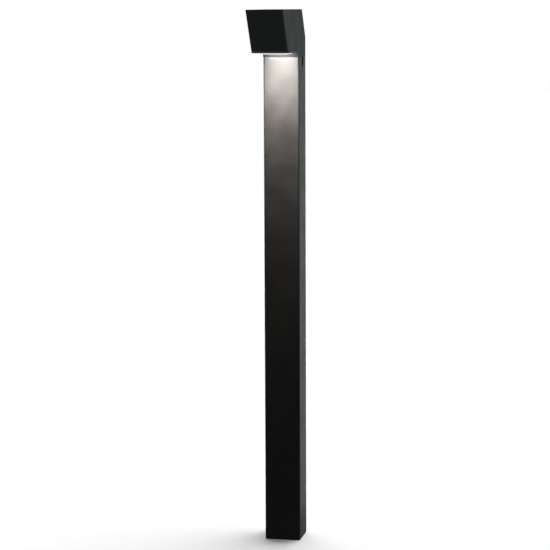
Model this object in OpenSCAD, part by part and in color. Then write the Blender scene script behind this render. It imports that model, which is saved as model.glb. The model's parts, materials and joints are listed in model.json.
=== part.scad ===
// Bollard light: a square post with a forward-raked head that lights the ground and the post's face.
// Millimetres, +Z up. The light shines down in front of the post, towards -Y.
// The origin is the centre of the anchor holes, on the ground.

/* [Post] */
// Overall height from the ground to the top of the head
total_h = 890; // [760:10:1100]
// Side of the square post and width of the head
post_w = 60; // [60:1:66]
// Wall thickness of the post tube
tube_t = 3; // [2.5:0.1:3]
// Radius of the long outer corners
corner_r = 3; // [2:0.5:4]
// Thickness of the rubber gasket under the post
gasket_t = 3; // [2:0.5:4]

/* [Head] */
// How far the top edge of the nose stands out in front of the post
nose_reach = 141; // [136:1:156]
// Rake of the nose and of the back bevel, in degrees from vertical
rake = 33.7; // [31:0.1:35]
// Height of the head above its underside
head_h = 69.5; // [68:0.5:76]
// Height of the bevel at the back of the head
bevel_h = 44.3; // [38:0.1:45]
// Height of the sloped chin between the head's underside and the post
chin_h = 8.5; // [8:0.5:10]
// How far the top of the chin stands out in front of the post
chin_reach = 4; // [2:0.5:4.5]
// Radius of the rounded lower edge of the nose
lip_r = 11; // [8:0.5:11]
// Wall thickness of the head casting
shell_t = 3; // [2.5:0.5:3]

/* [Lens] */
// Width of the raised panel of the lens
lens_w = 44; // [40:1:44]
// Length of the raised panel of the lens
lens_l = 56; // [50:1:56]
// How far the raised panel stands below the head
lens_drop = 2; // [0.5:0.5:3]

/* [Fixings] */
// How far the neck reaches down inside the post
neck_len = 64; // [50:1:80]
// Height of the anchor sleeve inside the foot of the post
anchor_h = 116; // [100:1:140]
// Distance between neighbouring anchor holes
anchor_pitch = 26; // [24:1:26]
// Diameter of an anchor hole
anchor_d = 7; // [6:0.5:7]
// Diameter of the supply cable's hole in the foot
entry_d = 20; // [16:1:20]
// Width of the U-shaped notches that take the lock screws
notch_w = 16; // [14:1:16]

/* [Electrical] */
// Bore of the supply cable gland
gland_d = 9; // [7:0.5:9]
// Diameter of the feed cable in the post
feed_d = 7; // [6:0.5:7]
// Diameter of the leads in the head
lead_d = 5; // [4:0.5:5]
// Length of the driver's housing
driver_l = 110; // [90:1:115]
// Number of light-emitting chips along the board
chip_rows = 4; // [2:1:4]

/* [Hidden] */
$fn = 64;
eps = 0.01;

// Post and head outlines
half_w = post_w / 2;
tube_in = post_w - 2 * tube_t;
tube_in_r = 1.5;
fit_gap = 0.3;
sleeve_w = tube_in - 2 * fit_gap;
sleeve_r = 2.5;
head_z = total_h - head_h;
seam_z = head_z - chin_h;
seam_gasket_t = 0.8;
trim_inset = 0.3;
tube_top = seam_z - seam_gasket_t;
nose_y = -half_w - nose_reach;
slope = tan(rake);
bevel_z = total_h - bevel_h;
skin_y = shell_t / cos(rake);
bevel_r = corner_r + 0.3;
lip_y = nose_y + (head_h - lip_r) * slope + lip_r / cos(rake);

// Lens stack, from the head's underside up
lens_mid = -75;
frame_t = 2.5;
flange_t = 2.5;
seal_t = 1;
ledge_t = 3.5;
ledge_z = head_z + frame_t + flange_t + seal_t + ledge_t;
frame_w = tube_in - 0.6;
frame_l = 74.4;
frame_mid = -76;
pocket_w = lens_w + 8;
pocket_l = lens_l + 4.6;
lens_gap = 0.3;
lens_corner = 4;
frame_screw_x = 17;
frame_screw_l = 8.5;
frame_screw_head_r = 2.75;
frame_screw_head_t = 1.3;
frame_screw_ys = [-109.4, -41.6];

// Light engine
reflector_h = 15;
reflector_t = 1.2;
board_t = 1.6;
board_w = 48;
board_y0 = -98;
board_y1 = -45;
board_z = ledge_z + reflector_h + 0.3;
pad_t = 0.5;
plate_z = board_z + board_t + pad_t;
plate_t = 4;
plate_w = 50;
plate_y0 = -122;
plate_y1 = -31;
plate_screw_x = 20;
plate_screw_ys = [-112, -38];
board_screw_x = 20.5;
board_screw_ys = [-93, -50];
chip_w = 3.5;
chip_t = 0.7;
chip_pitch = 7.5;
chip_mid = -75;

// Neck
neck_wall = 5;
neck_in = sleeve_w - 2 * neck_wall;
neck_z0 = seam_z - neck_len;
neck_top = seam_z + 26;
neck_plate_t = 6;
neck_screw_pos = 18;
lead_y = 10;
vent_y = -12;

// Lock screws, the same at the head and at the foot
notch_r = notch_w / 2;
notch_sunk = 1.4;
notch_taper = 1.6;
lock_z = tube_top - notch_r;
foot_lock_z = gasket_t + notch_r + 4;
foot_lock_x = 14;
lock_shank_r = 3.95;

// Machine screws: shank, tapped hole and clearance hole radii
m4_r = 1.95;
m4_tap_r = 2;
m4_clear_r = 2.2;
m3_r = 1.45;
m3_tap_r = 1.5;
m3_clear_r = 1.7;

// Foot
anchor_in = 40;
anchor_in_r = 3;
anchor_floor = gasket_t + 8;
anchor_top = gasket_t + anchor_h;
bracket_t = 1.5;
bracket_w = 20;

// Junction box above the anchor sleeve
box_w = 38;
box_y0 = -13;
box_y1 = 11;
box_z0 = anchor_top + 16;
box_h = 90;
box_t = 2;
box_top = box_z0 + box_h;
box_d = box_y1 - box_y0;
box_mid = (box_y0 + box_y1) / 2;
box_boss_x = box_w / 2 - 4.5;
box_boss_zs = [box_z0 + 5, box_top - 5];
bracket_low_zs = [anchor_top - 26, anchor_top - 11];
bracket_top_zs = [box_z0 + 12, box_top - 14];
bracket_z0 = anchor_top - 34;
bracket_step_z = anchor_top + 5;
bracket_z1 = box_top - 6;
lid_t = 2;
lid_screw_r = 1.2;
gland_z0 = box_z0 - 23;
gland_thread_r = 6;
gland_nut_r = 9;

// Terminal block inside the box
block_z0 = box_z0 + 36;
block_w = 28;
block_h = 26;
block_y0 = box_y0 + box_t;
block_y1 = -1;
block_mid = (block_y0 + block_y1) / 2;
block_xs = [-9, 0, 9];
block_screw_zs = [block_z0 + 6, block_z0 + block_h - 6];

// Gear hanging from the neck
tray_t = 2;
tray_w = 28;
tray_y1 = neck_in / 2;
tray_y0 = tray_y1 - tray_t;
driver_w = 30;
driver_d = 20;
driver_z1 = neck_z0 - 8;
driver_z0 = driver_z1 - driver_l;
ear_l = 10;
ear_t = 3;
ear_screw_r = 1.7;
tray_z0 = driver_z0 - 30;
tray_z1 = neck_z0 + 52;
tray_screw_zs = [neck_z0 + 17, neck_z0 + 37];

// Plugs: a pin of pin_r goes plug_depth into a socket
pin_r = 5;
socket_r = 8;
collar_t = 3;
grip_l = 10;
plug_depth = 10;
plug_gap = 0.1;
plug_l = 21;
plug_top = box_top + 16;
gear_socket_z = tray_z0 - 14;
inlet_top = tray_z0 + tray_t + 2;

// Route of the feed cable: up from the lower plug, along the back wall and into the upper plug
clip_y = 22;
feed_z0 = plug_top + plug_gap + plug_l;
feed_z1 = gear_socket_z - plug_gap - plug_l;
clip_zs = [feed_z0 + 110, (feed_z0 + feed_z1) / 2, feed_z1 - 110];
feed_route = [
    [0, 0, feed_z0], [0, 0, feed_z0 + 16], [0, 1, feed_z0 + 28], [0, 4, feed_z0 + 42],
    [0, 10, feed_z0 + 58], [0, 17, feed_z0 + 74], [0, 21, feed_z0 + 88], [0, clip_y, feed_z0 + 102],
    [0, clip_y, feed_z1 - 102], [0, 21, feed_z1 - 88], [0, 17, feed_z1 - 74], [0, 10, feed_z1 - 58],
    [0, 4, feed_z1 - 42], [0, 1, feed_z1 - 28], [0, 0, feed_z1 - 16], [0, 0, feed_z1]
];
lead_z = board_z - 2.5;
led_route = [
    [0, board_y1, lead_z], [0, -39, lead_z], [0, -32, lead_z + 1], [0, -22, lead_z + 5],
    [0, -12, lead_z + 9], [0, -4, lead_z + 10.5], [0, 3, lead_z + 9], [0, 7.5, lead_z + 5.5],
    [0, 9.6, lead_z + 1.5], [0, lead_y, lead_z - 2], [0, lead_y, lead_z - 6], [0, lead_y, driver_z1]
];
driver_route = [
    [0, 0, inlet_top], [0, 0, tray_z0 + 8], [0, 2, tray_z0 + 13], [0, 5, tray_z0 + 18],
    [0, 8, tray_z0 + 23], [0, lead_y, tray_z0 + 27], [0, lead_y, driver_z0]
];
earth_z = 60;
earth_r = 1.25;
earth_tap_r = 2.5;
earth_lug_t = 1.6;
earth_exit = [10, -8];
earth_end_x = anchor_in / 2 - earth_lug_t - earth_r;
earth_route = [
    [block_xs[2], block_mid, block_z0 + 4], [block_xs[2], block_mid, block_z0 - 6],
    [earth_exit.x - 0.5, earth_exit.y + 1, block_z0 - 16], [earth_exit.x, earth_exit.y, box_z0 + 8],
    [earth_exit.x, earth_exit.y, box_z0 - 5], [earth_exit.x + 1, earth_exit.y, box_z0 - 12],
    [earth_exit.x + 3, -7, box_z0 - 24], [14, -5, box_z0 - 36], [15.2, -3, box_z0 - 48],
    [16.4, -1, earth_z + 18], [earth_end_x, 0, earth_z + 12], [earth_end_x, 0, earth_z + 5.5]
];

// ---- shared shapes ----

// Rectangle with rounded corners, centred
module rounded_rect(w, d, r) {
    square([w - 2 * r, d], center = true);
    square([w, d - 2 * r], center = true);
    for (x = [-1, 1], y = [-1, 1])
        translate([x * (w / 2 - r), y * (d / 2 - r)])
            circle(r);
}

// Upright bar with rounded corners, from z0 to z1
module rounded_bar(w, d, r, z0, z1) {
    translate([0, 0, z0])
        linear_extrude(height = z1 - z0)
            rounded_rect(w, d, r);
}

// Square ring with rounded corners, from z0 to z1
module square_ring(outer, outer_r, inner, inner_r, z0, z1) {
    difference() {
        rounded_bar(outer, outer, outer_r, z0, z1);
        rounded_bar(inner, inner, inner_r, z0 - 1, z1 + 1);
    }
}

// Side profile drawn in (y, z) and extruded to width w across the post
module across(w) {
    rotate([90, 0, 90])
        linear_extrude(height = w, center = true)
            children();
}

// Copies of the children at both signs of x and at each y
module at_pairs(x, ys) {
    for (side = [-1, 1], y = ys)
        translate([side * x, y, 0])
            children();
}

// Screw along +Z: the head's outer face is at z = 0 and the shank points up
module pan_screw(head_r, head_h, shank_r, shank_l, socket_r) {
    difference() {
        union() {
            cylinder(r = head_r, h = head_h);
            translate([0, 0, head_h - eps])
                cylinder(r = shank_r, h = shank_l + eps);
        }
        translate([0, 0, -eps])
            cylinder(r = socket_r, h = head_h * 0.6, $fn = 6);
    }
}

// Lock screw along +Z, with its conical head's inner edge at z = 0 and the shank below
module lock_screw() {
    head_r = notch_r - 0.25;
    head_t = notch_taper - 0.1;
    hex_r = 2.9;
    difference() {
        union() {
            cylinder(r1 = head_r - notch_taper + 0.05, r2 = head_r, h = head_t);
            translate([0, 0, -neck_wall - fit_gap - 0.5])
                cylinder(r = lock_shank_r, h = neck_wall + fit_gap + 0.5 + eps);
        }
        translate([0, 0, -3])
            cylinder(r = hex_r, h = 3 + head_t + 1, $fn = 6);
    }
}

// Space cut by one U-shaped notch: round at the origin, open towards +Y, wall from z = 0 to tube_t
module notch_cut(open_l) {
    deep_r = notch_r - notch_taper;
    straight_z = tube_t - notch_sunk;
    translate([0, 0, -1])
        cylinder(r = deep_r, h = 1 + eps);
    cylinder(r1 = deep_r, r2 = notch_r, h = straight_z);
    translate([0, 0, straight_z - eps])
        cylinder(r = notch_r, h = notch_sunk + 1);
    rotate([-90, 0, 0])
        linear_extrude(height = open_l)
            polygon([
                [-deep_r, 1], [-deep_r, 0], [-notch_r, -straight_z], [-notch_r, -tube_t - 1],
                [notch_r, -tube_t - 1], [notch_r, -straight_z], [deep_r, 0], [deep_r, 1]
            ]);
}

// Round cable swept along a route that lies in a plane through the post's axis or nearly so
function unit(v) = v / norm(v);
function heading(route, i) =
    unit(route[min(i + 1, len(route) - 1)] - route[max(i - 1, 0)]);
function ring(centre, along, r, sides) =
    let (u = unit(cross([1, 0, 0], along)), v = cross(along, u))
    [for (k = [0 : sides - 1]) centre + r * (cos(360 * k / sides) * u + sin(360 * k / sides) * v)];

module cable(route, r, sides = 12) {
    last = len(route) - 1;
    points = [for (i = [0 : last]) each ring(route[i], heading(route, i), r, sides)];
    walls = [
        for (i = [0 : last - 1], k = [0 : sides - 1])
            let (n = (k + 1) % sides)
            each [
                [i * sides + k, (i + 1) * sides + k, (i + 1) * sides + n],
                [i * sides + k, (i + 1) * sides + n, i * sides + n]
            ]
    ];
    start_cap = [for (k = [0 : sides - 1]) k];
    end_cap = [for (k = [sides - 1 : -1 : 0]) last * sides + k];
    polyhedron(points, concat([start_cap], walls, [end_cap]));
}

// Plug standing on z = 0: the pin points down and the cable leaves at the top through a tapered boot
module plug() {
    boot_l = 6;
    difference() {
        union() {
            translate([0, 0, -plug_depth])
                cylinder(r = pin_r - 0.1, h = plug_depth + eps);
            cylinder(r = socket_r, h = collar_t);
            translate([0, 0, collar_t - eps])
                cylinder(r = socket_r - 1, h = grip_l + eps);
            translate([0, 0, collar_t + grip_l - eps])
                cylinder(r1 = socket_r - 1, r2 = feed_d / 2 + 1.2, h = plug_l - collar_t - grip_l + boot_l);
        }
        translate([0, 0, plug_l])
            cylinder(r = feed_d / 2 + 0.05, h = boot_l + 1);
    }
}

// Socket standing on z = 0, with its mouth at the top
module socket(h) {
    difference() {
        union() {
            cylinder(r = socket_r, h = h);
            cylinder(r = socket_r + 2, h = collar_t);
        }
        translate([0, 0, h - plug_depth - 0.5])
            cylinder(r = pin_r + 0.1, h = plug_depth + 1);
    }
}

// ---- foot ----

// Holes through the foot for the supply cable and the anchors
module foot_holes() {
    translate([0, 0, -1])
        cylinder(d = entry_d, h = anchor_floor + 2);
    at_pairs(anchor_pitch / 2, [-anchor_pitch / 2, anchor_pitch / 2])
        translate([0, 0, -1])
            cylinder(d = anchor_d, h = anchor_floor + 2);
}

module foot_gasket() {
    side = post_w - 2 * trim_inset;
    color("#101112")
        difference() {
            rounded_bar(side, side, corner_r - trim_inset, 0, gasket_t);
            foot_holes();
        }
}

// Turns the children from +Z to +Y at the two foot lock positions
module at_foot_locks() {
    for (x = [-foot_lock_x, foot_lock_x])
        translate([x, tube_in / 2, foot_lock_z])
            rotate([-90, 0, 0])
                children();
}

// Floor plate that the anchors hold down, welded into the foot of the sleeve
module anchor_plate() {
    color("#8f9295")
        difference() {
            rounded_bar(anchor_in, anchor_in, anchor_in_r, gasket_t, anchor_floor);
            foot_holes();
        }
}

// Sleeve that the post slides over, with tapped holes for the lock, bracket and earth screws
module anchor_sleeve() {
    sleeve_wall = (sleeve_w - anchor_in) / 2;
    color("#9a9da0")
        difference() {
            rounded_bar(sleeve_w, sleeve_w, sleeve_r, gasket_t, anchor_top);
            rounded_bar(anchor_in, anchor_in, anchor_in_r, gasket_t - 1, anchor_top + 1);
            at_foot_locks()
                translate([0, 0, -neck_wall - 3])
                    cylinder(r = lock_shank_r + 0.05, h = neck_wall + 4);
            for (z = bracket_low_zs)
                translate([0, -anchor_in / 2, z])
                    rotate([90, 0, 0])
                        translate([0, 0, -1])
                            cylinder(r = m4_tap_r, h = sleeve_wall + 2);
            translate([anchor_in / 2 - 1, 0, earth_z])
                rotate([0, 90, 0])
                    cylinder(r = earth_tap_r, h = sleeve_wall + 1);
        }
}

module foot_lock_screws() {
    color("#2a2b2c")
        at_foot_locks()
            lock_screw();
}

module junction_bracket() {
    y_wall = -anchor_in / 2;
    color("#b9bcbf")
        difference() {
            across(bracket_w)
                polygon([
                    [y_wall, bracket_z0], [y_wall + bracket_t, bracket_z0],
                    [y_wall + bracket_t, bracket_step_z], [box_y0, bracket_step_z],
                    [box_y0, bracket_z1], [box_y0 - bracket_t, bracket_z1],
                    [box_y0 - bracket_t, bracket_step_z + bracket_t], [y_wall, bracket_step_z + bracket_t]
                ]);
            for (z = bracket_low_zs)
                translate([0, y_wall - 1, z])
                    rotate([-90, 0, 0])
                        cylinder(r = m4_clear_r, h = bracket_t + 2);
            for (z = bracket_top_zs)
                translate([0, box_y0 - bracket_t - 1, z])
                    rotate([-90, 0, 0])
                        cylinder(r = m3_clear_r, h = bracket_t + 2);
        }
}

module bracket_screws() {
    color("#c6c8ca") {
        for (z = bracket_low_zs)
            translate([0, -anchor_in / 2 + bracket_t + 2.4, z])
                rotate([90, 0, 0])
                    pan_screw(3.6, 2.4, m4_r, 6.5, 1.6);
        for (z = bracket_top_zs)
            translate([0, box_y0 - bracket_t - 2, z])
                rotate([-90, 0, 0])
                    pan_screw(2.8, 2, m3_r, bracket_t + box_t, 1.2);
    }
}

module junction_box() {
    bore_l = 9;
    color("#3a3d40")
        difference() {
            translate([0, box_mid, 0])
                rounded_bar(box_w, box_d, 3, box_z0, box_top);
            translate([-box_w / 2 + box_t, box_y0 + box_t, box_z0 + box_t])
                cube([box_w - 2 * box_t, box_d, box_h - 2 * box_t]);
            translate([0, 0, box_z0 - 1])
                cylinder(r = gland_thread_r + 0.05, h = box_t + 2);
            translate([0, 0, box_top - box_t - 1])
                cylinder(r = 4, h = box_t + 2);
            translate([earth_exit.x, earth_exit.y, box_z0 - 1])
                cylinder(r = earth_r + 0.15, h = box_t + 2);
            for (z = bracket_top_zs)
                translate([0, box_y0 - 1, z])
                    rotate([-90, 0, 0])
                        cylinder(r = m3_tap_r, h = box_t + 2);
        }
    color("#3a3d40")
        for (x = [-1, 1], z = box_boss_zs)
            translate([x * box_boss_x, box_y0 + box_t - eps, z])
                rotate([-90, 0, 0])
                    difference() {
                        cylinder(r = 3, h = box_d - box_t);
                        translate([0, 0, box_d - box_t - bore_l])
                            cylinder(r = lid_screw_r + 0.05, h = bore_l + 1);
                    }
}

module junction_lid() {
    color("#45484b")
        difference() {
            translate([0, box_y1, (box_z0 + box_top) / 2])
                rotate([-90, 0, 0])
                    linear_extrude(height = lid_t)
                        rounded_rect(box_w, box_h, 3);
            for (x = [-1, 1], z = box_boss_zs)
                translate([x * box_boss_x, box_y1 - 1, z])
                    rotate([-90, 0, 0])
                        cylinder(r = lid_screw_r + 0.4, h = lid_t + 2);
        }
}

module lid_screws() {
    screw_head_t = 1.6;
    color("#c6c8ca")
        for (x = [-1, 1], z = box_boss_zs)
            translate([x * box_boss_x, box_y1 + lid_t + screw_head_t, z])
                rotate([90, 0, 0])
                    pan_screw(2.6, screw_head_t, lid_screw_r, 8, 1);
}

module terminal_block() {
    color("#d8d6cc")
        difference() {
            translate([-block_w / 2, block_y0, block_z0])
                cube([block_w, block_y1 - block_y0, block_h]);
            for (x = block_xs, z = block_screw_zs)
                translate([x, block_y1 - 4, z])
                    rotate([-90, 0, 0])
                        cylinder(r = 2.2, h = 5);
            for (x = block_xs)
                translate([x, block_mid, block_z0 - 1])
                    cylinder(r = 1.6, h = block_h + 2);
        }
}

module terminal_screws() {
    color("#c9a85a")
        for (x = block_xs, z = block_screw_zs)
            translate([x, block_y1 - 0.6, z])
                rotate([90, 0, 0])
                    pan_screw(2, 1.2, 1.2, 2, 0.8);
}

// Three cores from the terminal block up to the outlet socket
module outlet_cores() {
    core_r = 0.7;
    block_top = block_z0 + block_h;
    color("#7c4a2a")
        for (x = block_xs)
            cable([
                [x, block_mid, block_top - 5], [x, block_mid, block_top + 3],
                [x * 0.7, block_mid * 0.7, block_top + 10], [x * 0.3, block_mid * 0.25, box_top - 9],
                [x * 0.2, 0, box_top - box_t - 3], [x * 0.2, 0, box_top]
            ], core_r, 8);
}

module gland_body() {
    stem_l = 11;
    hex_t = 5;
    color("#2b2d2f")
        difference() {
            union() {
                translate([0, 0, box_z0 - stem_l])
                    cylinder(r = gland_thread_r, h = stem_l + box_t + 4);
                translate([0, 0, box_z0 - hex_t])
                    cylinder(r = gland_nut_r + 0.5, h = hex_t, $fn = 6);
            }
            translate([0, 0, gland_z0])
                cylinder(d = gland_d, h = box_z0);
        }
}

module gland_cap() {
    color("#2b2d2f")
        difference() {
            translate([0, 0, gland_z0])
                rotate_extrude()
                    polygon([
                        [gland_d / 2, 0], [7, 0], [8.6, 2.5], [8.6, 17.9], [6.1, 17.9],
                        [6.1, 4], [gland_d / 2, 4]
                    ]);
            for (a = [0 : 30 : 330])
                rotate([0, 0, a])
                    translate([9, 0, gland_z0 + 5])
                        cylinder(r = 0.7, h = 14, $fn = 16);
        }
}

module gland_seal() {
    seal_l = 8;
    color("#161718")
        translate([0, 0, gland_z0 + 4])
            difference() {
                cylinder(r = gland_thread_r, h = seal_l);
                translate([0, 0, -1])
                    cylinder(d = gland_d, h = seal_l + 2);
            }
}

module gland_locknut() {
    nut_t = 3;
    color("#2b2d2f")
        translate([0, 0, box_z0 + box_t])
            difference() {
                cylinder(r = gland_nut_r, h = nut_t, $fn = 6);
                translate([0, 0, -1])
                    cylinder(r = gland_thread_r + 0.05, h = nut_t + 2);
            }
}

module junction_socket() {
    color("#202224")
        translate([0, 0, box_top])
            socket(plug_top - box_top);
}

module earth_screw() {
    screw_head_t = 3;
    color("#c9a85a")
        translate([anchor_in / 2 - earth_lug_t - screw_head_t, 0, earth_z])
            rotate([0, 90, 0])
                pan_screw(4, screw_head_t, earth_tap_r - 0.1, 7, 1.8);
}

// Ring terminal under the earth screw's head, with a barrel for the lead
module earth_lug() {
    tongue_w = 4.4;
    color("#c9c6b8") {
        translate([anchor_in / 2 - earth_lug_t, 0, earth_z])
            rotate([0, 90, 0])
                difference() {
                    union() {
                        cylinder(r = 5, h = earth_lug_t);
                        translate([-9, -tongue_w / 2, 0])
                            cube([6, tongue_w, earth_lug_t]);
                    }
                    translate([0, 0, -1])
                        cylinder(r = earth_tap_r, h = earth_lug_t + 2);
                }
    }
}

module earth_lead() {
    color("#5a8f3c")
        cable(earth_route, earth_r, 8);
}

// ---- post ----

module post_tube() {
    color("#1b1d1f")
        difference() {
            rounded_bar(post_w, post_w, corner_r, gasket_t, tube_top);
            rounded_bar(tube_in, tube_in, tube_in_r, gasket_t - 1, tube_top + 1);
            for (side = [-1, 1])
                translate([side * tube_in / 2, 0, lock_z])
                    rotate([90, 0, side * 90])
                        notch_cut(notch_r + 1);
            for (x = [-foot_lock_x, foot_lock_x])
                translate([x, tube_in / 2, foot_lock_z])
                    rotate([-90, 0, 0])
                        notch_cut(notch_r + 5);
        }
}

module feed_cable() {
    color("#141516")
        cable(feed_route, feed_d / 2, 12);
}

module lower_plug() {
    color("#202224")
        translate([0, 0, plug_top + plug_gap])
            plug();
}

module upper_plug() {
    color("#202224")
        translate([0, 0, gear_socket_z - plug_gap])
            mirror([0, 0, 1])
                plug();
}

module cable_clips() {
    clip_w = 16;
    clip_h = 10;
    clip_y0 = 16.5;
    color("#e2e0d8")
        for (z = clip_zs)
            difference() {
                translate([-clip_w / 2, clip_y0, z - clip_h / 2])
                    cube([clip_w, tube_in / 2 - clip_y0, clip_h]);
                translate([0, clip_y, z - clip_h])
                    cylinder(r = feed_d / 2 + 0.1, h = 2 * clip_h);
            }
}

// ---- head ----

// Side profile of the head's front and underside, with its rounded lower lip
module head_profile() {
    polygon([
        [nose_y, total_h],
        [lip_y - lip_r * cos(rake), head_z + lip_r - lip_r * sin(rake)],
        [lip_y, head_z],
        [-half_w - chin_reach, head_z],
        [-half_w, seam_z],
        [half_w + 1, seam_z],
        [half_w + 1, total_h]
    ]);
    translate([lip_y, head_z + lip_r])
        circle(lip_r);
}

// Long bar with rounded corners, raked like the nose, its front or back face through (y, z)
module raked_bar(y, z, depth, r) {
    translate([0, y, z])
        rotate([rake, 0, 0])
            translate([0, depth / 2, 0])
                linear_extrude(height = 600, center = true)
                    rounded_rect(post_w, abs(depth), r);
}

// Solid outer shape of the head: profile, raked nose, raked back bevel and upright back
module head_solid() {
    bar_d = 260;
    intersection() {
        across(post_w + 2)
            head_profile();
        raked_bar(nose_y, total_h, bar_d, corner_r);
        raked_bar(half_w, bevel_z, -bar_d, bevel_r);
        translate([0, half_w - bar_d / 2, 0])
            rounded_bar(post_w, bar_d, corner_r, seam_z - 1, total_h + 1);
    }
}

// Cavity profile: nose chamber above the ledge, open down into the collar
module head_cavity_profile() {
    roof_z = total_h - shell_t;
    in_y = tube_in / 2;
    polygon([
        [nose_y + shell_t * slope + skin_y, roof_z],
        [nose_y + (total_h - ledge_z) * slope + skin_y, ledge_z],
        [-in_y, ledge_z],
        [-in_y, seam_z - 1],
        [in_y, seam_z - 1],
        [in_y, bevel_z + (half_w - in_y - skin_y) / slope],
        [half_w - skin_y - (roof_z - bevel_z) * slope, roof_z]
    ]);
}

module head_bosses() {
    at_pairs(plate_screw_x, plate_screw_ys)
        translate([0, 0, plate_z + plate_t])
            cylinder(r = 4, h = total_h);
    at_pairs(neck_screw_pos, [-neck_screw_pos, neck_screw_pos])
        translate([0, 0, neck_top])
            cylinder(r = 4.5, h = total_h);
}

module head_housing() {
    color("#1b1d1f")
        difference() {
            union() {
                difference() {
                    head_solid();
                    across(tube_in)
                        head_cavity_profile();
                }
                intersection() {
                    head_solid();
                    head_bosses();
                }
            }
            translate([0, frame_mid, 0])
                rounded_bar(tube_in, frame_l + 0.6, 1.5, head_z - 1, head_z + frame_t);
            translate([0, lens_mid, 0])
                rounded_bar(pocket_w, pocket_l, lens_corner + 2, head_z, ledge_z - ledge_t);
            translate([0, lens_mid, 0])
                rounded_bar(lens_w + 1, lens_l + 1, lens_corner, head_z, ledge_z + 1);
            at_pairs(frame_screw_x, frame_screw_ys)
                translate([0, 0, head_z])
                    cylinder(r = m3_tap_r, h = frame_screw_l + 0.3);
            at_pairs(plate_screw_x, plate_screw_ys)
                translate([0, 0, plate_z])
                    cylinder(r = m4_tap_r, h = plate_t + 9);
            at_pairs(neck_screw_pos, [-neck_screw_pos, neck_screw_pos])
                translate([0, 0, neck_top - 1])
                    cylinder(r = m4_tap_r, h = 10);
        }
}

module seam_gasket() {
    color("#101112")
        square_ring(post_w - 2 * trim_inset, corner_r - trim_inset, tube_in, tube_in_r, tube_top, seam_z);
}

module neck() {
    color("#9a9da0")
        difference() {
            rounded_bar(sleeve_w, sleeve_w, sleeve_r, neck_z0, neck_top);
            rounded_bar(neck_in, neck_in, 3, neck_z0 - 1, neck_top - neck_plate_t);
            translate([0, lead_y, 0])
                cylinder(r = 6, h = total_h);
            translate([0, vent_y, 0])
                cylinder(r = 4, h = total_h);
            at_pairs(neck_screw_pos, [-neck_screw_pos, neck_screw_pos])
                cylinder(r = m4_clear_r, h = total_h);
            translate([0, 0, lock_z])
                rotate([0, 90, 0])
                    cylinder(r = lock_shank_r + 0.05, h = 2 * post_w, center = true);
            for (z = tray_screw_zs)
                translate([0, neck_in / 2 - 1, z])
                    rotate([-90, 0, 0])
                        cylinder(r = m4_tap_r, h = neck_wall);
        }
}

module neck_screws() {
    color("#c6c8ca")
        at_pairs(neck_screw_pos, [-neck_screw_pos, neck_screw_pos])
            translate([0, 0, neck_top - neck_plate_t - 4])
                pan_screw(3.4, 4, m4_r, neck_plate_t + 8.5, 1.7);
}

module head_lock_screws() {
    color("#2a2b2c")
        for (side = [-1, 1])
            translate([side * tube_in / 2, 0, lock_z])
                rotate([0, side * 90, 0])
                    lock_screw();
}

// Rubber grommet in the neck's top plate, gripping the light engine's lead
module cable_grommet() {
    z0 = neck_top - neck_plate_t;
    bore_r = lead_d / 2 + 0.05;
    color("#161718")
        translate([0, lead_y, z0 - 2])
            rotate_extrude()
                polygon([
                    [bore_r, 0], [8, 0], [8, 2], [5.95, 2], [5.95, neck_plate_t + 2],
                    [8, neck_plate_t + 2], [8, neck_plate_t + 3.2], [bore_r, neck_plate_t + 3.2]
                ]);
}

// Pressure-equalising vent: a short hollow screw with a cap that stands off its seat
module vent_plug() {
    z0 = neck_top - neck_plate_t;
    color("#2b2d2f")
        translate([0, vent_y, z0 - 3.5])
            difference() {
                union() {
                    cylinder(r = 6, h = 3.5);
                    cylinder(r = 3.95, h = neck_plate_t + 3.5);
                }
                translate([0, 0, 1.5])
                    cylinder(r = 2, h = neck_plate_t + 3);
            }
}

// Folded strip that hangs from the neck and carries the driver, with a foot for the socket
module gear_tray() {
    foot_y0 = -10;
    color("#b9bcbf")
        difference() {
            across(tray_w)
                polygon([
                    [tray_y0, tray_z1], [tray_y1, tray_z1], [tray_y1, tray_z0], [foot_y0, tray_z0],
                    [foot_y0, tray_z0 + tray_t], [tray_y0, tray_z0 + tray_t]
                ]);
            translate([0, 0, tray_z0 - 1])
                cylinder(r = 5.05, h = tray_t + 2);
            for (z = tray_screw_zs)
                translate([0, tray_y0 - 1, z])
                    rotate([-90, 0, 0])
                        cylinder(r = m4_clear_r, h = tray_t + 2);
            for (z = [driver_z0 - ear_l / 2, driver_z1 + ear_l / 2])
                translate([0, tray_y0 - 1, z])
                    rotate([-90, 0, 0])
                        cylinder(r = ear_screw_r + 0.05, h = tray_t + 2);
        }
}

module tray_screws() {
    color("#c6c8ca")
        for (z = tray_screw_zs)
            translate([0, tray_y0 - 2.4, z])
                rotate([-90, 0, 0])
                    pan_screw(3.6, 2.4, 1.95, tray_t + 4, 1.6);
}

module driver() {
    ear_w = 18;
    color("#e4e4e0")
        difference() {
            union() {
                translate([0, tray_y0 - driver_d / 2, 0])
                    rounded_bar(driver_w, driver_d, 2, driver_z0, driver_z1);
                translate([-ear_w / 2, tray_y0 - ear_t, driver_z0 - ear_l])
                    cube([ear_w, ear_t, driver_l + 2 * ear_l]);
            }
            for (z = [driver_z0 - ear_l / 2, driver_z1 + ear_l / 2])
                translate([0, tray_y0 - ear_t - 1, z])
                    rotate([-90, 0, 0])
                        cylinder(r = ear_screw_r + 0.05, h = ear_t + 2);
            for (x = [-9, -3, 3, 9])
                translate([x - 1, tray_y0 - driver_d - 1, driver_z0 + 12])
                    cube([2, 1.6, driver_l - 24]);
        }
}

module driver_screws() {
    color("#c6c8ca")
        for (z = [driver_z0 - ear_l / 2, driver_z1 + ear_l / 2])
            translate([0, tray_y0 - 5, z])
                rotate([-90, 0, 0])
                    pan_screw(3, 2, ear_screw_r, ear_t + tray_t, 1.4);
}

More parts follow.
